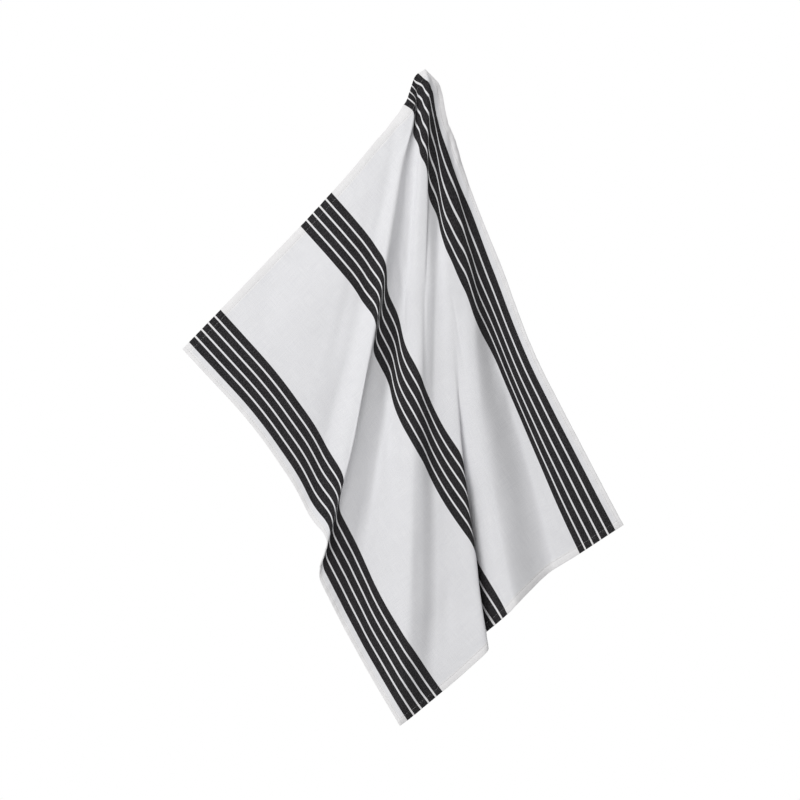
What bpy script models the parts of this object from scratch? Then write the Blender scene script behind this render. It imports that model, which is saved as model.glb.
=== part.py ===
"""A tea towel hung by one corner, as one cloth in the folds that it hangs in.

Metres, +Z up, the front to -Y and the back to +Y. The origin is the hung corner.
Each fold is a straight line on the flat cloth. It runs from one of the two edges that meet at
the hung corner to one of the two that meet at the lowest corner, and FOLDS says where it hangs.
Between two folds the cloth is a panel, and it bends round each fold in a soft curve.
A place on the flat cloth is a pair: across the stripes, then along them.
"""
import bmesh
import bpy
import numpy as np

MM = 0.001

# The flat cloth, hems sewn. Its stripes run along its length.
CLOTH_WIDTH = 500 * MM
CLOTH_LENGTH = 700 * MM
CLOTH_THICKNESS = 1.5 * MM

# FOLDS counts outwards from an upright plane behind the cloth. The hung corner is this far out.
CORNER_OUT = 33 * MM

# The colour of the ground between the stripes, and its finish.
CLOTH_COLOUR = (0.80, 0.80, 0.81, 1.0)
CLOTH_ROUGHNESS = 0.9

# Faces across a panel and along a fold. Rows lie closer together near the gathered corner.
FACES_ACROSS_PANEL = 5
FACES_ALONG_FOLD = 30
CROWDING_AT_CORNER = 1.5

# The shares of a fold's length at which FOLDS gives its place.
STATIONS = np.array((0.0, 0.03, 0.15, 0.3, 0.5, 0.8, 1.0))

# Folds from the cloth's left-hand edge to its right-hand edge, in mm.
#   top     where the fold starts: the distance from the hung corner along the flat cloth's edge,
#           - along the hem on the left, + along the side on the right
#   bottom  where it ends: the same from the lowest corner, - along the side on the left,
#           + along the hem on the right
#   bends   how far the bend reaches into the cloth on each side, at the fold's top and bottom
#   places  at each station: distance right of the hung corner, above it, and out from the plane
FOLDS = (
    # name, top, bottom, bends, places
    ("left_edge", -120, -700, (0, 0),
     ((-55, -82, 24), (-62, -90, 24), (-90, -124, 20), (-128, -166, 13),
      (-180, -221, 7), (-258, -302, 5), (-310, -356, 6))),
    ("left_sweep", -110, -570, (20, 60),
     ((-49, -75, 25), (-54, -86, 25), (-72, -133, 25), (-97, -191, 24),
      (-132, -267, 25), (-185, -379, 24), (-220, -452, 21))),
    ("soft_step_upper", -100, -468, (10, 40),
     ((-43, -67, 26), (-46, -82, 27), (-57, -139, 28), (-74, -208, 29),
      (-99, -299, 30), (-139, -439, 29), (-165, -532, 27))),
    ("soft_step_lower", -85, -415, (8, 22),
     ((-34, -56, 27), (-36, -72, 28), (-44, -135, 28), (-59, -212, 28),
      (-83, -313, 28), (-120, -468, 27), (-146, -572, 29))),
    ("left_ridge", -60, -381, (8, 30),
     ((-22, -36, 31), (-14, -54, 35), (-30, -122, 37), (-45, -206, 42),
      (-62, -319, 45), (-97, -496, 45), (-122, -597, 46))),
    ("left_valley", -20, -305, (8, 14),
     ((-14, -11, 28), (-10, -31, 25), (-20, -113, 27), (-31, -208, 26),
      (-62, -333, 36), (-102, -528, 36), (-137, -645, 25))),
    ("middle_step_upper", -13, -200, (6, 16),
     ((-9, -5, 31), (-4, -25, 32), (-10, -121, 30), (-20, -229, 24),
      (-41, -366, 20), (-78, -571, 19), (-106, -707, 19))),
    ("middle_step_lower", -6, -100, (4, 30),
     ((-4, -3, 32), (0, -23, 33), (-8, -125, 37), (-14, -246, 36),
      (-32, -401, 30), (-55, -625, 26), (-70, -772, 25))),
    ("middle_ridge", 0, 0, (6, 20),
     ((0, 0, 33), (4, -19, 38), (3, -132, 37), (-1, -262, 37),
      (-10, -434, 41), (-18, -684, 46), (-32, -835, 44))),
    ("middle_side", 30, 22, (5, 16),
     ((18, -18, 29), (9, -33, 32), (4, -166, 34), (4, -284, 36),
      (-1, -434, 36), (-3, -676, 39), (-15, -823, 40))),
    ("middle_valley", 50, 45, (5, 16),
     ((23, -35, 26), (12, -50, 26), (16, -182, 26), (13, -290, 31),
      (8, -436, 28), (10, -668, 29), (3, -808, 35))),
    ("middle_floor", 60, 95, (5, 40),
     ((24, -41, 26), (14, -55, 25), (20, -188, 27), (20, -288, 31),
      (22, -423, 28), (34, -640, 29), (40, -777, 36))),
    ("right_ridge", 75, 151, (5, 10),
     ((25, -48, 25), (16, -60, 25), (25, -194, 31), (30, -285, 35),
      (39, -405, 32), (63, -607, 33), (82, -739, 40))),
    ("right_valley", 90, 231, (5, 16),
     ((27, -57, 24), (20, -70, 23), (37, -192, 31), (43, -288, 36),
      (43, -396, 31), (54, -586, 6), (68, -727, 4))),
    ("thin_ridge", 105, 275, (6, 30),
     ((29, -66, 22), (27, -84, 22), (48, -195, 29), (54, -281, 36),
      (60, -402, 38), (78, -574, 36), (106, -693, 40))),
    ("broad_side", 112, 318, (6, 16),
     ((30, -70, 21), (30, -89, 20), (51, -195, 26), (62, -281, 33),
      (69, -375, 38), (95, -551, 41), (118, -679, 44))),
    ("broad_valley", 120, 355, (6, 40),
     ((32, -74, 20), (33, -94, 18), (55, -196, 20), (68, -279, 24),
      (84, -358, 19), (131, -529, 10), (157, -642, 12))),
    ("stripe_fold", 135, 429, (6, 20),
     ((36, -83, 18), (39, -102, 18), (63, -185, 18), (84, -270, 20),
      (108, -361, 18), (160, -515, 19), (196, -618, 22))),
    ("right_edge", 150, 500, (0, 0),
     ((39, -92, 15), (44, -109, 15), (70, -183, 19), (99, -255, 24),
      (131, -342, 30), (202, -485, 36), (252, -580, 40))),
)
PANELS = len(FOLDS) - 1

# The most that a bend may take of the way to the next fold, and to a corner of the cloth.
MOST_OF_PANEL = 0.48
MOST_OF_CORNER = 0.4
LEAST_BEND = 0.01 * MM

# Halvings in the search for the line between two folds that passes through a place.
SEARCH_STEPS = 40


def clear_scene():
    for item in list(bpy.data.objects):
        bpy.data.objects.remove(item, do_unlink=True)


def flat_starts():
    """Where each fold starts on the flat cloth."""
    return np.array([(-top, 0) if top < 0 else (0, top) for _, top, *_ in FOLDS]) * MM


def flat_ends():
    """Where each fold ends on the flat cloth."""
    bottoms = [bottom * MM for _, _, bottom, *_ in FOLDS]
    across = [CLOTH_WIDTH if bottom < 0 else CLOTH_WIDTH - bottom for bottom in bottoms]
    along = [CLOTH_LENGTH + bottom if bottom < 0 else CLOTH_LENGTH for bottom in bottoms]
    return np.column_stack((across, along))


def station_places():
    """Each fold's places at the stations, in the part's own frame: fold, station, axis."""
    right, up, out = np.moveaxis(np.array([fold[4] for fold in FOLDS], float) * MM, 2, 0)
    return np.stack((right, CORNER_OUT - out, up), axis=2)


def station_slopes(places):
    """Slopes at the stations that keep each fold's curve from swinging past them."""
    gaps = np.diff(STATIONS)[:, None]
    rises = np.diff(places, axis=1) / gaps
    before, after = rises[:, :-1], rises[:, 1:]
    weight_before = 2 * gaps[1:] + gaps[:-1]
    weight_after = 2 * gaps[:-1] + gaps[1:]
    turns_back = before * after <= 0
    safe_before = np.where(turns_back, 1, before)
    safe_after = np.where(turns_back, 1, after)
    weighted = weight_before / safe_before + weight_after / safe_after
    inner = np.where(turns_back, 0, (weight_before + weight_after) / weighted)
    return np.concatenate((rises[:, :1], inner, rises[:, -1:]), axis=1)


STARTS = flat_starts()
ENDS = flat_ends()
LENGTHS = np.linalg.norm(ENDS - STARTS, axis=1)
DIRECTIONS = (ENDS - STARTS) / LENGTHS[:, None]
SIDEWAYS = DIRECTIONS[:, ::-1] * (-1, 1)
BENDS = np.array([fold[3] for fold in FOLDS]) * MM
PLACES = station_places()
SLOPES = station_slopes(PLACES)


def blend(a, b, share):
    return a + (b - a) * share[..., None]


def fold_line(number):
    """The flat ends of the fold with that number, or of a line between two folds."""
    folds = np.arange(len(FOLDS))
    start = np.stack([np.interp(number, folds, STARTS[:, axis]) for axis in (0, 1)], axis=-1)
    end = np.stack([np.interp(number, folds, ENDS[:, axis]) for axis in (0, 1)], axis=-1)
    return start, end


def line_through(flat):
    """The number of the line through each place on the flat cloth, and the share along it."""
    low = np.zeros(flat.shape[:-1])
    high = np.full(flat.shape[:-1], float(PANELS))
    for _ in range(SEARCH_STEPS):
        number = (low + high) / 2
        start, end = fold_line(number)
        run, offset = end - start, flat - start
        on_the_right = run[..., 0] * offset[..., 1] > run[..., 1] * offset[..., 0]
        low = np.where(on_the_right, number, low)
        high = np.where(on_the_right, high, number)
    return number, np.sum(offset * run, axis=-1) / np.sum(run * run, axis=-1)


def fold_point(fold, t):
    """Where a fold hangs at a share t of its length, on a smooth curve through its stations."""
    inside = np.clip(t, 0, 1)
    k = np.clip(np.searchsorted(STATIONS, inside, side="right") - 1, 0, len(STATIONS) - 2)
    gap = STATIONS[k + 1] - STATIONS[k]
    x = (inside - STATIONS[k]) / gap
    leave = x * (1 - x) ** 2 * gap
    arrive = x * x * (x - 1) * gap
    between = blend(PLACES[fold, k], PLACES[fold, k + 1], x * x * (3 - 2 * x))
    curve = between + SLOPES[fold, k] * leave[..., None] + SLOPES[fold, k + 1] * arrive[..., None]
    straight_on = np.where(t[..., None] < 0, SLOPES[fold, 0], SLOPES[fold, -1])
    return curve + straight_on * (t - inside)[..., None]


def panel_point(flat):
    """Where a place on the flat cloth hangs on the straight panel between two folds."""
    number, t = line_through(flat)
    panel = np.clip(number.astype(int), 0, PANELS - 1)
    return blend(fold_point(panel, t), fold_point(panel + 1, t), number - panel)


def flat_on_fold(fold, t):
    return STARTS[fold] + (ENDS[fold] - STARTS[fold]) * t[..., None]


def bend_reach(fold, t):
    """How far the bend at a fold reaches to each side, clear of the next folds and of corners."""
    flat = flat_on_fold(fold, t)
    wanted = BENDS[fold, 0] + (BENDS[fold, 1] - BENDS[fold, 0]) * np.clip(t, 0, 1)
    to_left_fold = np.abs((flat - STARTS[fold - 1]) @ SIDEWAYS[fold - 1])
    to_right_fold = np.abs((flat - STARTS[fold + 1]) @ SIDEWAYS[fold + 1])
    to_top = np.linalg.norm(flat, axis=-1)
    to_bottom = np.linalg.norm(flat - (CLOTH_WIDTH, CLOTH_LENGTH), axis=-1)
    in_panel = np.minimum(to_left_fold, to_right_fold) * MOST_OF_PANEL
    at_corner = np.minimum(to_top, to_bottom) * MOST_OF_CORNER
    return np.maximum(np.minimum(np.minimum(wanted, in_panel), at_corner), LEAST_BEND)


def bend_point(fold, t, offset, reach):
    """A point on the bend round a fold, at a distance to the fold's right on the flat cloth."""
    foot = flat_on_fold(fold, t)
    left = panel_point(foot - SIDEWAYS[fold] * reach[..., None])
    right = panel_point(foot + SIDEWAYS[fold] * reach[..., None])
    middle = fold_point(np.full(t.shape, fold), t)
    share = ((offset + reach) / (2 * reach))[..., None]
    return left * (1 - share) ** 2 + middle * 2 * share * (1 - share) + right * share ** 2


def hang(flat):
    """Where each place on the flat cloth hangs: on its panel, or on the bend round a fold."""
    number, _ = line_through(flat)
    points = panel_point(flat)
    for fold in range(1, PANELS):
        t = (flat - STARTS[fold]) @ DIRECTIONS[fold] / LENGTHS[fold]
        offset = (flat - STARTS[fold]) @ SIDEWAYS[fold]
        reach = bend_reach(fold, t)
        bent = (np.abs(number - fold) < 1) & (np.abs(offset) < reach)
        points[bent] = bend_point(fold, t[bent], offset[bent], reach[bent])
    return points


def hung_grid():
    """A flat grid whose lines run along the folds, carried to where each point hangs."""
    grid = bmesh.new()
    across = PANELS * FACES_ACROSS_PANEL
    bmesh.ops.create_grid(grid, x_segments=across, y_segments=FACES_ALONG_FOLD, size=0.5)
    places = np.array([vert.co[:2] for vert in grid.verts])
    folds_passed = (places[:, 0] + 0.5) * PANELS
    panel = np.clip(folds_passed.astype(int), 0, PANELS - 1)
    number = panel + (1 - np.cos(np.pi * (folds_passed - panel))) / 2
    t = np.clip(0.5 - places[:, 1], 0, 1) ** CROWDING_AT_CORNER
    start, end = fold_line(number)
    for vert, point in zip(grid.verts, hang(blend(start, end, t))):
        vert.co = point
    return grid


def cloth_material():
    material = bpy.data.materials.new("cloth")
    material.use_nodes = True
    shader = material.node_tree.nodes["Principled BSDF"]
    shader.inputs["Base Color"].default_value = CLOTH_COLOUR
    shader.inputs["Roughness"].default_value = CLOTH_ROUGHNESS
    shader.inputs["Metallic"].default_value = 0.0
    return material


def make_towel(collection):
    """The whole cloth, hems and all, as one sheet of even thickness."""
    grid = hung_grid()
    mesh = bpy.data.meshes.new("towel")
    grid.to_mesh(mesh)
    grid.free()
    mesh.shade_smooth()
    mesh.materials.append(cloth_material())
    towel = bpy.data.objects.new("towel", mesh)
    collection.objects.link(towel)
    sheet = towel.modifiers.new("sheet", "SOLIDIFY")
    sheet.thickness = CLOTH_THICKNESS
    sheet.offset = 0.0
    return towel


def main():
    clear_scene()
    collection = bpy.data.collections.new("tea_towel")
    bpy.context.scene.collection.children.link(collection)
    make_towel(collection)


main()
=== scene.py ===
"""The looks of a striped tea towel that hangs by one corner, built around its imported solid.

The cloth is a fine grid of its flat, cut shape. Each place on the grid is carried to where it
hangs by the folds that the solid has, and then gets soft creases, gathers, hems and stitches.
A place on the flat cloth is a pair: across the stripes, then along them.
Metres, +Z up, the front to -Y. The origin is the hung corner.
"""
import math

import bpy
import numpy as np
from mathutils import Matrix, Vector


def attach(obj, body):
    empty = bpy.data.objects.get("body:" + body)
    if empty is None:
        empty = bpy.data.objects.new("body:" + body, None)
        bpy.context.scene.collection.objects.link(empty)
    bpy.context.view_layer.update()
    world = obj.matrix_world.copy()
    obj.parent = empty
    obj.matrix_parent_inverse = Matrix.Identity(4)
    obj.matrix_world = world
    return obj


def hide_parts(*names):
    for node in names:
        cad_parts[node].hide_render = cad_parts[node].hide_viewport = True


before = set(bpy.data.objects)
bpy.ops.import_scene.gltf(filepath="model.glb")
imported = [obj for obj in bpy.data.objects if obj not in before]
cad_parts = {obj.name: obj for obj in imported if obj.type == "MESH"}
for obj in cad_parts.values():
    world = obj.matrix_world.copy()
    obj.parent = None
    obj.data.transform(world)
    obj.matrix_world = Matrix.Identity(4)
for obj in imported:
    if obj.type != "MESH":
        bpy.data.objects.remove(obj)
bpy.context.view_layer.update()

MM = 0.001

# ---------------------------------------------------------------- the flat cloth

CLOTH_WIDTH = 500 * MM
CLOTH_LENGTH = 700 * MM
SHEET_THICKNESS = 0.9 * MM

# Three groups of dark bands run along the cloth, with light lines between a group's bands. The
# first group starts at FIRST_GROUP from the side.
FIRST_GROUP = 12.5 * MM
GROUP_SPACING = 208.25 * MM
BANDS_IN_GROUP = 5
BAND_WIDTH = 9.86 * MM
LINE_WIDTH = 2.3 * MM
BAND_PITCH = BAND_WIDTH + LINE_WIDTH

# Hems: their widths, the stitch line's distance from a hem's inner edge, and their extra thickness.
END_HEM = 10.5 * MM
SIDE_HEM = 6.0 * MM
STITCH_INSET = 1.3 * MM
HEM_FRONT_RISE = 0.12 * MM
HEM_BACK_RISE = 0.5 * MM

# A hem's thickness fades from just inside its inner edge to just outside it.
FADE_INSIDE_HEM = 0.2 * MM
FADE_OUTSIDE_HEM = 0.8 * MM

# The trough that the stitches press into a hem, and the share of the thickness left at an edge.
STITCH_TROUGH = 0.3 * MM
TROUGH_REACH = 0.8 * MM
SHARE_AT_EDGE = 0.45

# A stitch's length, the distance from one stitch to the next, and the thread's radius.
STITCH_LENGTH = 2.3 * MM
STITCH_PITCH = 3.2 * MM
THREAD_RADIUS = 0.12 * MM
THREAD_SIDES = 5

# Rings of a stitch, which dips into the cloth at both ends.
STITCH_RINGS = (
    # share of the stitch's length, height over the cloth, share of the thread's radius
    (0.0, -0.10 * MM, 0.7),
    (0.2, 0.09 * MM, 1.0),
    (0.8, 0.09 * MM, 1.0),
    (1.0, -0.10 * MM, 0.7),
)
RING_SHARES, RING_HEIGHTS, RING_RADII = np.array(STITCH_RINGS).T
TURNS_ROUND_THREAD = np.arange(THREAD_SIDES) / THREAD_SIDES * math.tau

# Size of the grid's faces, and where its finer lines run: from an edge, from the stitch line, and
# past a hem's inner edge.
FACE_SIZE = 3.1 * MM
LINES_AT_EDGE = (0.0, 0.35 * MM, 1.2 * MM)
LINE_BESIDE_STITCH = 0.7 * MM
LINE_PAST_HEM = 1.0 * MM

# ---------------------------------------------------------------- how it hangs

# FOLDS counts outwards from an upright plane behind the cloth. The hung corner is this far out.
CORNER_OUT = 33 * MM

# The shares of a fold's length at which FOLDS gives its place.
STATIONS = np.array((0.0, 0.03, 0.15, 0.3, 0.5, 0.8, 1.0))

# The solid's folds, from the cloth's left-hand edge to its right-hand edge, in mm.
#   top     where the fold starts: the distance from the hung corner along the flat cloth's edge,
#           - along the hem on the left, + along the side on the right
#   bottom  where it ends: the same from the lowest corner, - along the side on the left,
#           + along the hem on the right
#   bends   how far the bend reaches into the cloth on each side, at the fold's top and bottom
#   places  at each station: distance right of the hung corner, above it, and out from the plane
FOLDS = (
    # name, top, bottom, bends, places
    ("left_edge", -120, -700, (0, 0),
     ((-55, -82, 24), (-62, -90, 24), (-90, -124, 20), (-128, -166, 13),
      (-180, -221, 7), (-258, -302, 5), (-310, -356, 6))),
    ("left_sweep", -110, -570, (20, 60),
     ((-49, -75, 25), (-54, -86, 25), (-72, -133, 25), (-97, -191, 24),
      (-132, -267, 25), (-185, -379, 24), (-220, -452, 21))),
    ("soft_step_upper", -100, -468, (10, 40),
     ((-43, -67, 26), (-46, -82, 27), (-57, -139, 28), (-74, -208, 29),
      (-99, -299, 30), (-139, -439, 29), (-165, -532, 27))),
    ("soft_step_lower", -85, -415, (8, 22),
     ((-34, -56, 27), (-36, -72, 28), (-44, -135, 28), (-59, -212, 28),
      (-83, -313, 28), (-120, -468, 27), (-146, -572, 29))),
    ("left_ridge", -60, -381, (8, 30),
     ((-22, -36, 31), (-14, -54, 35), (-30, -122, 37), (-45, -206, 42),
      (-62, -319, 45), (-97, -496, 45), (-122, -597, 46))),
    ("left_valley", -20, -305, (8, 14),
     ((-14, -11, 28), (-10, -31, 25), (-20, -113, 27), (-31, -208, 26),
      (-62, -333, 36), (-102, -528, 36), (-137, -645, 25))),
    ("middle_step_upper", -13, -200, (6, 16),
     ((-9, -5, 31), (-4, -25, 32), (-10, -121, 30), (-20, -229, 24),
      (-41, -366, 20), (-78, -571, 19), (-106, -707, 19))),
    ("middle_step_lower", -6, -100, (4, 30),
     ((-4, -3, 32), (0, -23, 33), (-8, -125, 37), (-14, -246, 36),
      (-32, -401, 30), (-55, -625, 26), (-70, -772, 25))),
    ("middle_ridge", 0, 0, (6, 20),
     ((0, 0, 33), (4, -19, 38), (3, -132, 37), (-1, -262, 37),
      (-10, -434, 41), (-18, -684, 46), (-32, -835, 44))),
    ("middle_side", 30, 22, (5, 16),
     ((18, -18, 29), (9, -33, 32), (4, -166, 34), (4, -284, 36),
      (-1, -434, 36), (-3, -676, 39), (-15, -823, 40))),
    ("middle_valley", 50, 45, (5, 16),
     ((23, -35, 26), (12, -50, 26), (16, -182, 26), (13, -290, 31),
      (8, -436, 28), (10, -668, 29), (3, -808, 35))),
    ("middle_floor", 60, 95, (5, 40),
     ((24, -41, 26), (14, -55, 25), (20, -188, 27), (20, -288, 31),
      (22, -423, 28), (34, -640, 29), (40, -777, 36))),
    ("right_ridge", 75, 151, (5, 10),
     ((25, -48, 25), (16, -60, 25), (25, -194, 31), (30, -285, 35),
      (39, -405, 32), (63, -607, 33), (82, -739, 40))),
    ("right_valley", 90, 231, (5, 16),
     ((27, -57, 24), (20, -70, 23), (37, -192, 31), (43, -288, 36),
      (43, -396, 31), (54, -586, 6), (68, -727, 4))),
    ("thin_ridge", 105, 275, (6, 30),
     ((29, -66, 22), (27, -84, 22), (48, -195, 29), (54, -281, 36),
      (60, -402, 38), (78, -574, 36), (106, -693, 40))),
    ("broad_side", 112, 318, (6, 16),
     ((30, -70, 21), (30, -89, 20), (51, -195, 26), (62, -281, 33),
      (69, -375, 38), (95, -551, 41), (118, -679, 44))),
    ("broad_valley", 120, 355, (6, 40),
     ((32, -74, 20), (33, -94, 18), (55, -196, 20), (68, -279, 24),
      (84, -358, 19), (131, -529, 10), (157, -642, 12))),
    ("stripe_fold", 135, 429, (6, 20),
     ((36, -83, 18), (39, -102, 18), (63, -185, 18), (84, -270, 20),
      (108, -361, 18), (160, -515, 19), (196, -618, 22))),
    ("right_edge", 150, 500, (0, 0),
     ((39, -92, 15), (44, -109, 15), (70, -183, 19), (99, -255, 24),
      (131, -342, 30), (202, -485, 36), (252, -580, 40))),
)
PANELS = len(FOLDS) - 1

# The most that a bend may take of the way to the next fold, and to a corner of the cloth.
MOST_OF_PANEL = 0.48
MOST_OF_CORNER = 0.4
LEAST_BEND = 0.01 * MM

# Halvings in the search for the line between two folds that passes through a place.
SEARCH_STEPS = 40

# How far to each side of a place its neighbours lie that give the cloth's slope there.
SLOPE_STEP = 0.8 * MM

# ---------------------------------------------------------------- what is finer than the folds

# Soft creases between the folds, in mm on the flat cloth.
#   start, end  the crease's two ends
#   reach       how far it spreads to each side
#   height      how far it stands out at its middle, - for a trough
CREASES = (
    # name, start, end, reach, height
    ("left_field_trough", (160, 28), (392, 171), 14, -1.2),
    ("left_field_ridge", (180, 66), (400, 200), 12, 0.7),
    ("neck_light_line", (80, 36), (150, 122), 4, 0.35),
    ("neck_dark_line", (74, 46), (142, 138), 4, -0.35),
    ("left_corner_dent", (330, 8), (430, 70), 26, -0.9),
    ("left_side_lift", (452, 120), (486, 330), 24, 0.8),
    ("middle_drag", (260, 215), (372, 470), 16, -0.7),
    ("middle_light_line", (236, 206), (350, 470), 12, 0.6),
    ("lower_wrinkle", (330, 560), (400, 668), 18, -0.8),
    ("lower_lift", (372, 540), (452, 640), 22, 0.8),
    ("right_thin_line", (98, 250), (122, 420), 9, -0.5),
    ("right_field_lift", (96, 430), (150, 640), 14, 0.7),
    ("right_field_dent", (120, 470), (190, 660), 18, -0.8),
    ("right_stripe_dent", (30, 300), (52, 470), 20, -0.6),
    ("left_crest_dent", (318, 189), (440, 283), 13, -1.8),
    ("left_valley_side", (255, 250), (420, 434), 14, -0.8),
    ("left_field_swell", (476, -10), (412, 262), 60, 2.2),
    ("neck_side_dent", (60, 2), (124, 40), 9, -1.6),
    ("middle_side_dent", (176, 125), (218, 255), 10, -1.8),
    ("middle_upper_line", (48, 98), (176, 258), 9, -1.3),
    ("middle_lower_line", (138, 190), (240, 380), 9, -1.0),
    ("middle_thin_ridge", (70, 130), (246, 400), 7, 0.5),
    ("middle_floor_line", (240, 338), (456, 658), 12, -1.0),
    ("right_field_line", (92, 450), (156, 625), 12, -0.6),
    ("right_shade_lift", (30, 380), (124, 530), 18, 1.2),
)

# The share of a crease's length over which it rises from each end.
CREASE_FADE = 0.35

# Pleats that spread from the hung corner. They are full at one distance and gone at another.
GATHERS = (
    # how many in a full turn, start in turns, height
    (44, 0.3, 0.30 * MM),
    (72, 0.8, 0.16 * MM),
)
GATHERS_FULL = 26 * MM
GATHERS_END = 105 * MM

# Slow waves over the whole cloth.
WAVES = (
    # length, direction in turns, start in turns, height
    (148 * MM, 0.06, 0.10, 0.45 * MM),
    (97 * MM, 0.21, 0.65, 0.30 * MM),
    (71 * MM, 0.43, 0.35, 0.20 * MM),
    (47 * MM, 0.13, 0.80, 0.10 * MM),
)

# Small waves along the hems, where the stitches draw the cloth in, and how far they reach past them.
PUCKERS = (
    # length, start in turns, height
    (14.7 * MM, 0.2, 0.13 * MM),
    (21.9 * MM, 0.7, 0.14 * MM),
    (33.1 * MM, 0.5, 0.16 * MM),
)
PUCKER_REACH = 9 * MM

# ---------------------------------------------------------------- the camera and the light

# The photograph's frame: its scale at the hung corner, and that corner's place in it. The lens
# and the sensor are in mm.
FRAME_PIXELS = 800
PIXELS_PER_METRE = 786
CORNER_PIXEL = (425, 69)
LENS = 200
SENSOR = 36

# A large soft light from the upper left, a weaker one for the back, and a white surround that is
# dimmer as light.
LIGHTS = (
    # name, place, power in watts
    ("key", (-1.65, -2.3, 1.25), 84),
    ("back", (1.2, 2.5, 0.6), 36),
)
LIGHT_SIZE = 3.0
LIGHT_TARGET = (0, 0, -0.42)
SURROUND_AS_LIGHT = 0.35
SURROUND_AS_SEEN = 1.0

FLOOR_RADIUS = 2.0
FLOOR_SIDES = 96
FLOOR_LEVEL = -1.2
FLOOR_COLOUR = (0.85, 0.85, 0.85, 1)
WHITE = (1, 1, 1, 1)


def flat_starts():
    """Where each fold starts on the flat cloth."""
    return np.array([(-top, 0) if top < 0 else (0, top) for _, top, *_ in FOLDS]) * MM


def flat_ends():
    """Where each fold ends on the flat cloth."""
    bottoms = [bottom * MM for _, _, bottom, *_ in FOLDS]
    across = [CLOTH_WIDTH if bottom < 0 else CLOTH_WIDTH - bottom for bottom in bottoms]
    along = [CLOTH_LENGTH + bottom if bottom < 0 else CLOTH_LENGTH for bottom in bottoms]
    return np.column_stack((across, along))


def station_places():
    """Each fold's places at the stations, in the part's own frame: fold, station, axis."""
    right, up, out = np.moveaxis(np.array([fold[4] for fold in FOLDS], float) * MM, 2, 0)
    return np.stack((right, CORNER_OUT - out, up), axis=2)


def station_slopes(places):
    """Slopes at the stations that keep each fold's curve from swinging past them."""
    gaps = np.diff(STATIONS)[:, None]
    rises = np.diff(places, axis=1) / gaps
    before, after = rises[:, :-1], rises[:, 1:]
    weight_before = 2 * gaps[1:] + gaps[:-1]
    weight_after = 2 * gaps[:-1] + gaps[1:]
    turns_back = before * after <= 0
    safe_before = np.where(turns_back, 1, before)
    safe_after = np.where(turns_back, 1, after)
    weighted = weight_before / safe_before + weight_after / safe_after
    inner = np.where(turns_back, 0, (weight_before + weight_after) / weighted)
    return np.concatenate((rises[:, :1], inner, rises[:, -1:]), axis=1)


STARTS = flat_starts()
ENDS = flat_ends()
LENGTHS = np.linalg.norm(ENDS - STARTS, axis=1)
DIRECTIONS = (ENDS - STARTS) / LENGTHS[:, None]
SIDEWAYS = DIRECTIONS[:, ::-1] * (-1, 1)
BENDS = np.array([fold[3] for fold in FOLDS]) * MM
PLACES = station_places()
SLOPES = station_slopes(PLACES)


def blend(a, b, share):
    """The points that lie the given share of the way from a to b."""
    return a + (b - a) * share[..., None]


def fold_line(number):
    """The flat ends of the fold with that number, or of a line between two folds."""
    folds = np.arange(len(FOLDS))
    start = np.stack([np.interp(number, folds, STARTS[:, axis]) for axis in (0, 1)], axis=-1)
    end = np.stack([np.interp(number, folds, ENDS[:, axis]) for axis in (0, 1)], axis=-1)
    return start, end


def line_through(flat):
    """The number of the line through each place on the flat cloth, and the share along it."""
    low = np.zeros(flat.shape[:-1])
    high = np.full(flat.shape[:-1], float(PANELS))
    for _ in range(SEARCH_STEPS):
        number = (low + high) / 2
        start, end = fold_line(number)
        run, offset = end - start, flat - start
        on_the_right = run[..., 0] * offset[..., 1] > run[..., 1] * offset[..., 0]
        low = np.where(on_the_right, number, low)
        high = np.where(on_the_right, high, number)
    return number, np.sum(offset * run, axis=-1) / np.sum(run * run, axis=-1)


def fold_point(fold, t):
    """Where a fold hangs at a share t of its length, on a smooth curve through its stations."""
    inside = np.clip(t, 0, 1)
    k = np.clip(np.searchsorted(STATIONS, inside, side="right") - 1, 0, len(STATIONS) - 2)
    gap = STATIONS[k + 1] - STATIONS[k]
    x = (inside - STATIONS[k]) / gap
    leave = x * (1 - x) ** 2 * gap
    arrive = x * x * (x - 1) * gap
    between = blend(PLACES[fold, k], PLACES[fold, k + 1], x * x * (3 - 2 * x))
    curve = between + SLOPES[fold, k] * leave[..., None] + SLOPES[fold, k + 1] * arrive[..., None]
    straight_on = np.where(t[..., None] < 0, SLOPES[fold, 0], SLOPES[fold, -1])
    return curve + straight_on * (t - inside)[..., None]


def panel_point(flat):
    """Where a place on the flat cloth hangs on the straight panel between two folds."""
    number, t = line_through(flat)
    panel = np.clip(number.astype(int), 0, PANELS - 1)
    return blend(fold_point(panel, t), fold_point(panel + 1, t), number - panel)


def flat_on_fold(fold, t):
    """The place on the flat cloth at a share t of a fold's length."""
    return STARTS[fold] + (ENDS[fold] - STARTS[fold]) * t[..., None]


def bend_reach(fold, t):
    """How far the bend at a fold reaches to each side, clear of the next folds and of corners."""
    flat = flat_on_fold(fold, t)
    wanted = BENDS[fold, 0] + (BENDS[fold, 1] - BENDS[fold, 0]) * np.clip(t, 0, 1)
    to_left_fold = np.abs((flat - STARTS[fold - 1]) @ SIDEWAYS[fold - 1])
    to_right_fold = np.abs((flat - STARTS[fold + 1]) @ SIDEWAYS[fold + 1])
    to_top = np.linalg.norm(flat, axis=-1)
    to_bottom = np.linalg.norm(flat - (CLOTH_WIDTH, CLOTH_LENGTH), axis=-1)
    in_panel = np.minimum(to_left_fold, to_right_fold) * MOST_OF_PANEL
    at_corner = np.minimum(to_top, to_bottom) * MOST_OF_CORNER
    return np.maximum(np.minimum(np.minimum(wanted, in_panel), at_corner), LEAST_BEND)


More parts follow.
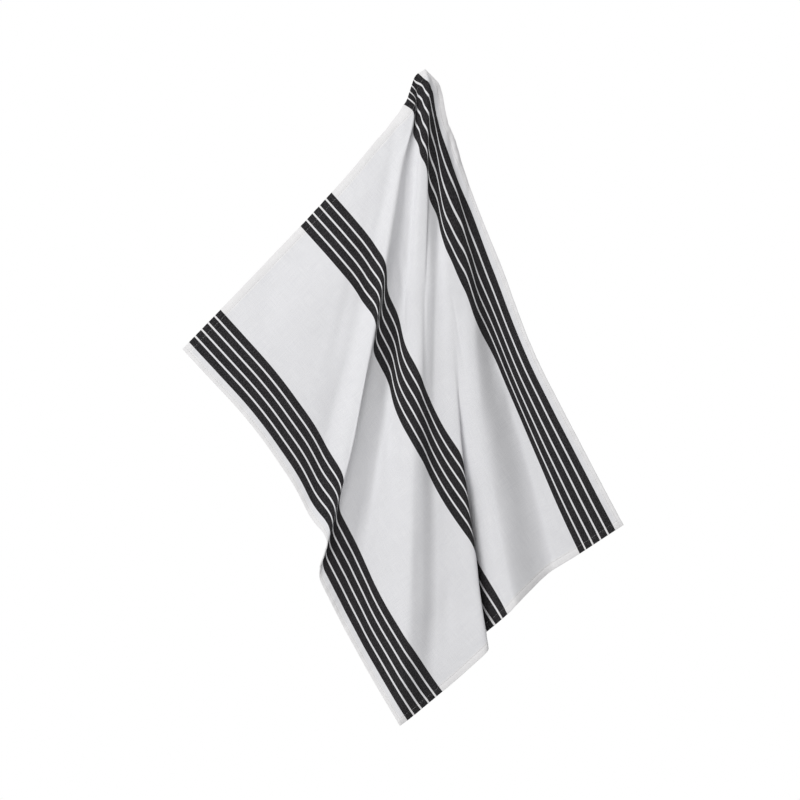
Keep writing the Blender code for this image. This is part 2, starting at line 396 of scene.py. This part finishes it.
def bend_point(fold, t, offset, reach):
    """A point on the bend round a fold, at a distance to the fold's right on the flat cloth."""
    foot = flat_on_fold(fold, t)
    left = panel_point(foot - SIDEWAYS[fold] * reach[..., None])
    right = panel_point(foot + SIDEWAYS[fold] * reach[..., None])
    middle = fold_point(np.full(t.shape, fold), t)
    share = ((offset + reach) / (2 * reach))[..., None]
    return left * (1 - share) ** 2 + middle * 2 * share * (1 - share) + right * share ** 2


def hang(flat):
    """Where each place on the flat cloth hangs: on its panel, or on the bend round a fold."""
    number, _ = line_through(flat)
    points = panel_point(flat)
    for fold in range(1, PANELS):
        t = (flat - STARTS[fold]) @ DIRECTIONS[fold] / LENGTHS[fold]
        offset = (flat - STARTS[fold]) @ SIDEWAYS[fold]
        reach = bend_reach(fold, t)
        bent = (np.abs(number - fold) < 1) & (np.abs(offset) < reach)
        points[bent] = bend_point(fold, t[bent], offset[bent], reach[bent])
    return points


# ---------------------------------------------------------------- the cloth's mesh

def soft_step(x, start, end):
    """0 before start, 1 after end, and a smooth rise between."""
    share = np.clip((x - start) / (end - start), 0, 1)
    return share * share * (3 - 2 * share)


def unit(vectors):
    return vectors / np.linalg.norm(vectors, axis=-1, keepdims=True)


def hung_normals(flat):
    """The hung cloth's directions to its front at places on the flat cloth."""
    corner = (CLOTH_WIDTH, CLOTH_LENGTH)
    slopes = []
    for step in ((SLOPE_STEP, 0), (0, SLOPE_STEP)):
        slopes.append(hang(np.clip(flat + step, 0, corner)) - hang(np.clip(flat - step, 0, corner)))
    return unit(np.cross(*slopes))


def edge_distances(flat):
    """Distances from the nearest side and from the nearest end of the flat cloth."""
    side = np.minimum(flat[..., 0], CLOTH_WIDTH - flat[..., 0])
    end = np.minimum(flat[..., 1], CLOTH_LENGTH - flat[..., 1])
    return side, end


def crease_height(flat):
    """How far the soft creases lift the cloth."""
    height = np.zeros(flat.shape[:-1])
    for _, start, end, reach, rise in CREASES:
        offset = flat - np.array(start) * MM
        run = np.subtract(end, start) * MM
        length = np.linalg.norm(run)
        share = offset @ run / length ** 2
        beside = np.abs(offset @ (run[1], -run[0])) / length
        ends = soft_step(share, 0, CREASE_FADE) * soft_step(1 - share, 0, CREASE_FADE)
        height += rise * MM * ends * (1 - soft_step(beside, 0, reach * MM))
    return height


def gather_height(flat):
    """Fine pleats that spread from the hung corner and fade away."""
    distance = np.linalg.norm(flat, axis=-1)
    turn = np.arctan2(flat[..., 1], flat[..., 0]) / math.tau
    pleats = sum(rise * np.sin(math.tau * (count * turn + start)) for count, start, rise in GATHERS)
    return pleats * soft_step(distance, 0, GATHERS_FULL) * (1 - soft_step(distance, 0, GATHERS_END))


def wave_height(flat):
    """Slow waves over the whole cloth."""
    height = np.zeros(flat.shape[:-1])
    for length, direction, start, rise in WAVES:
        angle = math.tau * direction
        travel = flat @ (math.cos(angle), math.sin(angle))
        height += rise * np.sin(math.tau * (travel / length + start))
    return height


def puckers_along(travel):
    """The height of a hem's small waves at a distance along it."""
    return sum(rise * np.sin(math.tau * (travel / length + start)) for length, start, rise in PUCKERS)


def pucker_height(flat):
    """Small waves along the hems, which fade away into the cloth."""
    side, end = edge_distances(flat)
    near_side = 1 - soft_step(side, SIDE_HEM, SIDE_HEM + PUCKER_REACH)
    near_end = 1 - soft_step(end, END_HEM, END_HEM + PUCKER_REACH)
    return puckers_along(flat[..., 1]) * near_side + puckers_along(flat[..., 0]) * near_end


def detail_height(flat):
    """How far all that is finer than the folds lifts the cloth to its front."""
    return crease_height(flat) + gather_height(flat) + wave_height(flat) + pucker_height(flat)


def hem_share(flat):
    """1 in the hems, 0 in the single cloth, with a soft step at the hem's inner edge."""
    side, end = edge_distances(flat)
    in_side = 1 - soft_step(side, SIDE_HEM - FADE_INSIDE_HEM, SIDE_HEM + FADE_OUTSIDE_HEM)
    in_end = 1 - soft_step(end, END_HEM - FADE_INSIDE_HEM, END_HEM + FADE_OUTSIDE_HEM)
    return np.maximum(in_side, in_end)


def stitch_share(flat):
    """1 on the line where the hem is stitched, 0 a little away from it."""
    side, end = edge_distances(flat)
    side_line = np.abs(side - (SIDE_HEM - STITCH_INSET))
    end_line = np.abs(end - (END_HEM - STITCH_INSET))
    return 1 - soft_step(np.minimum(side_line, end_line), 0, TROUGH_REACH)


def edge_round(flat):
    """1 inside the cloth, less towards its very edge, where the turned cloth is round."""
    near = np.clip(np.minimum(*edge_distances(flat)) / LINES_AT_EDGE[-1], 0, 1)
    return SHARE_AT_EDGE + (1 - SHARE_AT_EDGE) * np.sqrt(1 - (1 - near) ** 2)


def face_height(flat, side):
    """A face's distance from the middle of the cloth: side 1 is the front, side -1 the back."""
    hem_rise = HEM_FRONT_RISE if side > 0 else HEM_BACK_RISE
    height = SHEET_THICKNESS / 2 + hem_rise * hem_share(flat) - STITCH_TROUGH * stitch_share(flat)
    return height * edge_round(flat)


def face_points(flat, normals, side, lift=0.0):
    """Points over a face of the hung cloth, given the hung cloth's normals there."""
    height = detail_height(flat) + side * (face_height(flat, side) + lift)
    return hang(flat) + normals * height[..., None]


def grid_lines(length, hem):
    """The grid's lines across one side of the flat cloth: finer at the hems, even between."""
    stitch = hem - STITCH_INSET
    at_edge = [*LINES_AT_EDGE, (LINES_AT_EDGE[-1] + stitch) / 2]
    at_stitch = [stitch - LINE_BESIDE_STITCH, stitch, stitch + LINE_BESIDE_STITCH]
    near = np.array([*at_edge, *at_stitch, hem, hem + LINE_PAST_HEM])
    inner = length - 2 * near[-1]
    faces = round(inner / FACE_SIZE)
    between = near[-1] + inner * np.arange(1, faces) / faces
    return np.concatenate((near, between, length - near[::-1]))


def sheet_faces(rows, columns):
    """Faces of a closed sheet: the front grid, the back grid, and the edge between them."""
    index = np.arange(rows * columns).reshape(rows, columns)
    back = index + rows * columns
    corners = (index[:-1, :-1], index[1:, :-1], index[1:, 1:], index[:-1, 1:])
    front_faces = np.stack(corners, axis=-1).reshape(-1, 4)
    back_faces = front_faces[:, ::-1] + rows * columns
    rim = np.concatenate((index[:-1, 0], index[-1, :-1], index[:0:-1, -1], index[0, :0:-1]))
    behind = np.concatenate((back[:-1, 0], back[-1, :-1], back[:0:-1, -1], back[0, :0:-1]))
    rim_faces = np.stack((np.roll(rim, -1), rim, behind, np.roll(behind, -1)), axis=-1)
    return np.concatenate((front_faces, back_faces, rim_faces))


def new_mesh_object(name, points, faces, attribute, values):
    """A smooth mesh object, with a vector for each point that its material reads."""
    mesh = bpy.data.meshes.new(name)
    mesh.from_pydata(points.reshape(-1, 3).tolist(), [], faces)
    mesh.attributes.new(attribute, "FLOAT_VECTOR", "POINT")
    mesh.attributes[attribute].data.foreach_set("vector", values.astype(np.float32).ravel())
    mesh.shade_smooth()
    item = bpy.data.objects.new(name, mesh)
    bpy.context.scene.collection.objects.link(item)
    return item


def make_cloth():
    """The whole towel: its front, its back and its hems, as one closed sheet."""
    lines = (grid_lines(CLOTH_WIDTH, SIDE_HEM), grid_lines(CLOTH_LENGTH, END_HEM))
    flat = np.stack(np.meshgrid(*lines, indexing="ij"), axis=-1)
    normals = hung_normals(flat)
    points = np.stack([face_points(flat, normals, side) for side in (1, -1)])
    faces = sheet_faces(*flat.shape[:-1]).tolist()
    cut_places = np.concatenate((flat / MM, np.zeros(flat.shape[:-1] + (1,))), axis=-1)
    both_sides = np.stack((cut_places, cut_places))
    cloth = new_mesh_object("towel_cloth", points, faces, "cut_place", both_sides)
    cloth.data.materials.append(cloth_material())
    return cloth


# ---------------------------------------------------------------- the hem stitches

def stitch_lines():
    """The two ends of each of the four stitch lines on the flat cloth."""
    side = SIDE_HEM - STITCH_INSET
    end = END_HEM - STITCH_INSET
    for across in (side, CLOTH_WIDTH - side):
        yield (across, side), (across, CLOTH_LENGTH - side)
    for along in (end, CLOTH_LENGTH - end):
        yield (side, along), (CLOTH_WIDTH - side, along)


def stitch_places():
    """The flat places of each stitch's rings: stitch, ring, place."""
    stitches = []
    for start, end in stitch_lines():
        run = np.subtract(end, start)
        length = np.linalg.norm(run)
        first = np.arange(0, length - STITCH_LENGTH, STITCH_PITCH)
        travel = first[:, None] + RING_SHARES * STITCH_LENGTH
        stitches.append(start + run / length * travel[..., None])
    return np.concatenate(stitches)


def stitch_points(side):
    """Points of the stitches on one face of the cloth: stitch, ring, point, axis."""
    flat = stitch_places()
    normals = hung_normals(flat)
    middles = face_points(flat, normals, side, RING_HEIGHTS)
    away = normals * side
    run = unit(middles[:, -1:] - middles[:, :1])
    beside = np.cross(run, away)
    cosines = np.cos(TURNS_ROUND_THREAD)[:, None]
    sines = np.sin(TURNS_ROUND_THREAD)[:, None]
    ring = away[:, :, None] * cosines + beside[:, :, None] * sines
    radii = THREAD_RADIUS * RING_RADII
    return middles[:, :, None] + ring * radii[:, None, None]


def stitch_faces(stitches):
    """Faces of closed tubes, one for each stitch."""
    rings = len(STITCH_RINGS)
    faces = []
    for first in range(0, stitches * rings * THREAD_SIDES, rings * THREAD_SIDES):
        for ring in range(first, first + (rings - 1) * THREAD_SIDES, THREAD_SIDES):
            next_ring = ring + THREAD_SIDES
            for side in range(THREAD_SIDES):
                after = (side + 1) % THREAD_SIDES
                faces.append((ring + side, ring + after, next_ring + after, next_ring + side))
        last = first + (rings - 1) * THREAD_SIDES
        faces.append(tuple(range(first + THREAD_SIDES - 1, first - 1, -1)))
        faces.append(tuple(range(last, last + THREAD_SIDES)))
    return faces


def thread_places(stitches):
    """For each stitch point: its distance along the thread in mm, and its turn's cosine and sine."""
    travel = RING_SHARES * STITCH_LENGTH / MM
    places = np.zeros((stitches, len(STITCH_RINGS), THREAD_SIDES, 3))
    places[..., 0] = travel[:, None]
    places[..., 1] = np.cos(TURNS_ROUND_THREAD)
    places[..., 2] = np.sin(TURNS_ROUND_THREAD)
    return places


def make_stitches():
    """All the hems' stitches, on the front and on the back."""
    points = np.concatenate([stitch_points(side) for side in (1, -1)])
    faces = stitch_faces(len(points))
    places = thread_places(len(points))
    item = new_mesh_object("hem_stitches", points, faces, "thread_place", places)
    item.data.materials.append(thread_material())
    return item


# ---------------------------------------------------------------- materials

# Colours, each between a deep and a pale tone.
GROUND_COLOURS = ((0.755, 0.755, 0.778, 1), (0.835, 0.835, 0.852, 1))
HEM_COLOURS = ((0.805, 0.797, 0.802, 1), (0.885, 0.877, 0.882, 1))
BAND_COLOURS = ((0.0015, 0.0013, 0.0018, 1), (0.046, 0.043, 0.047, 1))
# The thread's own colour is light grey, and its deep tone is painted shade in the grooves between its
# plies.
THREAD_COLOURS = ((0.34, 0.34, 0.35, 1), (0.54, 0.54, 0.54, 1))

# The cloth's roughness over the span of its mottle, and its gloss and soft sheen.
CLOTH_ROUGHNESS = (0.82, 0.95)
MOTTLE_SPAN = (0.3, 0.7)
CLOTH_SPECULAR = 0.25
CLOTH_SHEEN = 0.06
SHEEN_ROUGHNESS = 0.5

# The weave, in mm: the threads' pitch, and how far a stripe's edge wanders and blurs.
WARP_PITCH = 0.56
WEFT_PITCH = 0.60
EDGE_WANDER = 0.30
EDGE_BLUR = 0.15

# The relief of the weave, and of the thick and thin stretches of its threads beside it.
WEAVE_DEPTH = 0.12 * MM
WEAVE_STRENGTH = 0.5
SLUB_RELIEF = 0.8

# Where a crossing of threads turns from warp on top to weft on top.
CROSSING_EDGE = 0.1

# Painted shade between the threads: there the colour turns to black by this share, gone at this
# height.
GAP_SHADE = 0.16
GAP_HEIGHT = 0.35
BLACK = (0, 0, 0, 1)

# Noise over the flat cloth: how many grains a mm across and along, and how much detail in them.
WANDER_NOISE = (0.3, 0.45, 3.0)
WARP_SLUBS = (1.5, 0.035, 2.0)
WEFT_SLUBS = (0.035, 1.5, 2.0)
MOTTLE = (0.06, 0.06, 4.0)
GRAIN = (0.85, 0.5, 1.0)

# The tone of the light cloth: the mottle's share beside the slubs, and their sum's span.
MOTTLE_IN_TONE = 0.3
TONE_SPAN = (0.75, 1.55)

# The tone of the dark bands: the shares of weft and slubs beside the grain, and their sum's span.
WEFT_IN_BAND = 0.12
SLUBS_IN_BAND = 0.4
BAND_TONE_SPAN = (0.55, 1.05)

# The length along the sewing thread of one turn of its plies, in mm, their relief and their gloss.
PLY_TURN = 0.55
PLY_DEPTH = 0.04 * MM
PLY_STRENGTH = 0.6
THREAD_ROUGHNESS = (0.75, 0.6)


class Nodes:
    """Short names for the nodes of one material."""

    def __init__(self, name):
        self.material = bpy.data.materials.new(name)
        self.material.use_nodes = True
        self.tree = self.material.node_tree
        self.shader = self.tree.nodes["Principled BSDF"]

    def add(self, kind, inputs=(), **settings):
        """A new node. Its inputs take numbers, colours or other nodes' outputs."""
        node = self.tree.nodes.new(kind)
        for name, value in settings.items():
            setattr(node, name, value)
        for socket, value in dict(inputs).items():
            self.feed(node.inputs[socket], value)
        return node

    def feed(self, socket, value):
        if isinstance(value, bpy.types.NodeSocket):
            self.tree.links.new(value, socket)
        else:
            socket.default_value = value

    def math(self, operation, *values):
        return self.add("ShaderNodeMath", enumerate(values), operation=operation).outputs[0]

    def ramp(self, value, start, end, low=0.0, high=1.0):
        """From low at start to high at end, with a smooth change between."""
        inputs = {"Value": value, "From Min": start, "From Max": end, "To Min": low, "To Max": high}
        return self.add("ShaderNodeMapRange", inputs, interpolation_type="SMOOTHSTEP").outputs[0]

    def noise(self, x, y, x_scale, y_scale, detail):
        """Noise about 0.5 over the flat cloth, with its grain's density each way."""
        scaled = {0: self.math("MULTIPLY", x, x_scale), 1: self.math("MULTIPLY", y, y_scale)}
        vector = self.add("ShaderNodeCombineXYZ", scaled).outputs[0]
        inputs = {"Vector": vector, "Scale": 1.0, "Detail": detail}
        return self.add("ShaderNodeTexNoise", inputs).outputs[0]

    def mix(self, share, first, second):
        """The colour between two: inputs 6 and 7 and output 2 are a Mix node's colours."""
        inputs = {0: share, 6: first, 7: second}
        node = self.add("ShaderNodeMix", data_type="RGBA")
        for socket, value in inputs.items():
            self.feed(node.inputs[socket], value)
        return node.outputs[2]

    def finish(self, colour, roughness):
        """The colour and the roughness of the surface."""
        self.feed(self.shader.inputs["Base Color"], colour)
        self.feed(self.shader.inputs["Roughness"], roughness)

    def bump(self, height, depth, strength):
        """A relief of the surface, from a height between 0 and 1 and its depth in metres."""
        inputs = {"Height": height, "Distance": depth, "Strength": strength}
        self.feed(self.shader.inputs["Normal"], self.add("ShaderNodeBump", inputs).outputs[0])


def attribute_parts(nodes, name):
    """The three numbers that the mesh keeps for each point."""
    place = nodes.add("ShaderNodeAttribute", attribute_name=name).outputs["Vector"]
    return nodes.add("ShaderNodeSeparateXYZ", {0: place}).outputs


def band_share(nodes, across, along):
    """1 in the dark bands, 0 on the ground and the lines between bands; the edges wander a little."""
    drift = nodes.noise(across, along, *WANDER_NOISE)
    wander = nodes.math("MULTIPLY_ADD", drift, EDGE_WANDER, across)
    first_cell = (FIRST_GROUP - LINE_WIDTH / 2) / MM + EDGE_WANDER / 2
    from_group = nodes.math("SUBTRACT", wander, first_cell)
    in_group = nodes.math("FLOORED_MODULO", from_group, GROUP_SPACING / MM)
    group = nodes.math("LESS_THAN", in_group, BANDS_IN_GROUP * BAND_PITCH / MM)
    in_cell = nodes.math("FLOORED_MODULO", in_group, BAND_PITCH / MM)
    from_middle = nodes.math("ABSOLUTE", nodes.math("SUBTRACT", in_cell, BAND_PITCH / 2 / MM))
    half = BAND_WIDTH / 2 / MM
    band = nodes.ramp(from_middle, half - EDGE_BLUR, half + EDGE_BLUR, 1.0, 0.0)
    return nodes.math("MULTIPLY", group, band)


def in_hem(nodes, across, along):
    """1 in the hems, 0 in the single cloth."""
    shares = []
    for place, length, hem in ((across, CLOTH_WIDTH, SIDE_HEM), (along, CLOTH_LENGTH, END_HEM)):
        far = nodes.math("SUBTRACT", length / MM, place)
        edge = nodes.math("MINIMUM", place, far)
        shares.append(nodes.ramp(edge, hem / MM, (hem + FADE_OUTSIDE_HEM) / MM, 1.0, 0.0))
    return nodes.math("MAXIMUM", *shares)


def plain_weave(nodes, across, along):
    """The height of the threads, from 0 between them to 1, and 1 where a weft thread is on top."""
    warp = nodes.math("SINE", nodes.math("MULTIPLY", across, math.pi / WARP_PITCH))
    weft = nodes.math("SINE", nodes.math("MULTIPLY", along, math.pi / WEFT_PITCH))
    crossing = nodes.math("MULTIPLY", warp, weft)
    height = nodes.math("ABSOLUTE", crossing)
    weft_on_top = nodes.ramp(crossing, -CROSSING_EDGE, CROSSING_EDGE, 1.0, 0.0)
    return height, weft_on_top


def cloth_material():
    """Plain-woven cotton: uneven threads, dark warp bands on a white ground, paler hems."""
    nodes = Nodes("striped_cotton")
    across, along, _ = attribute_parts(nodes, "cut_place")
    height, weft_on_top = plain_weave(nodes, across, along)
    warp_slubs = nodes.noise(across, along, *WARP_SLUBS)
    weft_slubs = nodes.noise(across, along, *WEFT_SLUBS)
    mottle = nodes.noise(across, along, *MOTTLE)
    grain = nodes.noise(across, along, *GRAIN)

    slubs = nodes.math("ADD", warp_slubs, weft_slubs)
    tone = nodes.ramp(nodes.math("MULTIPLY_ADD", mottle, MOTTLE_IN_TONE, slubs), *TONE_SPAN)
    ground = nodes.mix(tone, *GROUND_COLOURS)
    hem = nodes.mix(tone, *HEM_COLOURS)
    light = nodes.mix(in_hem(nodes, across, along), ground, hem)

    flecks = nodes.math("MULTIPLY_ADD", weft_on_top, WEFT_IN_BAND, grain)
    band_tone = nodes.math("MULTIPLY_ADD", warp_slubs, SLUBS_IN_BAND, flecks)
    band = nodes.mix(nodes.ramp(band_tone, *BAND_TONE_SPAN), *BAND_COLOURS)

    colour = nodes.mix(band_share(nodes, across, along), light, band)
    # Painted shade: the colour darkens towards black in the low places between the threads.
    between = nodes.ramp(height, 0.0, GAP_HEIGHT, GAP_SHADE, 0.0)
    shaded = nodes.mix(between, colour, BLACK)
    roughness = nodes.ramp(mottle, *MOTTLE_SPAN, *CLOTH_ROUGHNESS)
    nodes.finish(shaded, roughness)
    nodes.feed(nodes.shader.inputs["Specular IOR Level"], CLOTH_SPECULAR)
    nodes.feed(nodes.shader.inputs["Sheen Weight"], CLOTH_SHEEN)
    nodes.feed(nodes.shader.inputs["Sheen Roughness"], SHEEN_ROUGHNESS)
    relief = nodes.math("MULTIPLY_ADD", slubs, SLUB_RELIEF, height)
    nodes.bump(relief, WEAVE_DEPTH, WEAVE_STRENGTH)
    return nodes.material


def thread_material():
    """Light grey sewing thread of twisted plies, with painted shade in the grooves between its plies.
    """
    nodes = Nodes("sewing_thread")
    travel, cosine, sine = attribute_parts(nodes, "thread_place")
    turn = nodes.math("MULTIPLY", travel, math.tau / PLY_TURN)
    one = nodes.math("MULTIPLY", nodes.math("COSINE", turn), cosine)
    ply = nodes.math("MULTIPLY_ADD", nodes.math("SINE", turn), sine, one)
    height = nodes.ramp(ply, -1.0, 1.0)
    # Light grey thread, darker in the grooves between the plies: painted shade.
    nodes.finish(nodes.mix(height, *THREAD_COLOURS), nodes.ramp(height, 0.0, 1.0, *THREAD_ROUGHNESS))
    nodes.bump(height, PLY_DEPTH, PLY_STRENGTH)
    return nodes.material


# ---------------------------------------------------------------- stage

def add_camera():
    """A long lens straight in front, with the photograph's frame at the hung corner's depth."""
    data = bpy.data.cameras.new("camera")
    data.lens = LENS
    data.sensor_width = SENSOR
    camera = bpy.data.objects.new("camera", data)
    bpy.context.scene.collection.objects.link(camera)
    centre = FRAME_PIXELS / 2
    width = FRAME_PIXELS / PIXELS_PER_METRE
    right = (centre - CORNER_PIXEL[0]) / PIXELS_PER_METRE
    up = (CORNER_PIXEL[1] - centre) / PIXELS_PER_METRE
    camera.location = (right, -width * LENS / SENSOR, up)
    camera.rotation_euler = (math.radians(90), 0, 0)
    bpy.context.scene.camera = camera


def add_soft_light(name, place, power):
    """A round lamp that faces the middle of the towel and doesn't show itself."""
    data = bpy.data.lights.new(name, "AREA")
    data.shape = "DISK"
    data.size = LIGHT_SIZE
    data.energy = power
    light = bpy.data.objects.new(name, data)
    bpy.context.scene.collection.objects.link(light)
    light.location = place
    direction = Vector(LIGHT_TARGET) - Vector(place)
    light.rotation_euler = direction.to_track_quat("-Z", "Y").to_euler()
    light.visible_camera = False


def add_surround():
    """A white surround: bright behind the object, dimmer as light."""
    world = bpy.data.worlds.new("surround")
    bpy.context.scene.world = world
    world.use_nodes = True
    tree = world.node_tree
    seen = tree.nodes.new("ShaderNodeLightPath").outputs["Is Camera Ray"]
    strength = tree.nodes.new("ShaderNodeMapRange")
    strength.inputs["To Min"].default_value = SURROUND_AS_LIGHT
    strength.inputs["To Max"].default_value = SURROUND_AS_SEEN
    tree.links.new(seen, strength.inputs["Value"])
    background = tree.nodes["Background"]
    background.inputs["Color"].default_value = WHITE
    tree.links.new(strength.outputs[0], background.inputs["Strength"])


def add_floor():
    """A plain pale floor, well below the towel."""
    bpy.ops.mesh.primitive_circle_add(
        vertices=FLOOR_SIDES, radius=FLOOR_RADIUS, fill_type="NGON", location=(0, 0, FLOOR_LEVEL))
    floor = bpy.context.object
    floor.name = "floor"
    material = bpy.data.materials.new("floor")
    material.use_nodes = True
    material.node_tree.nodes["Principled BSDF"].inputs["Base Color"].default_value = FLOOR_COLOUR
    floor.data.materials.append(material)


def main():
    add_camera()
    cloth = make_cloth()
    stitches = make_stitches()
    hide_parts("towel")
    for piece in (cloth, stitches):
        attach(piece, "root")
    add_surround()
    for light in LIGHTS:
        add_soft_light(*light)
    add_floor()
    bpy.context.scene.view_settings.view_transform = "Standard"


main()
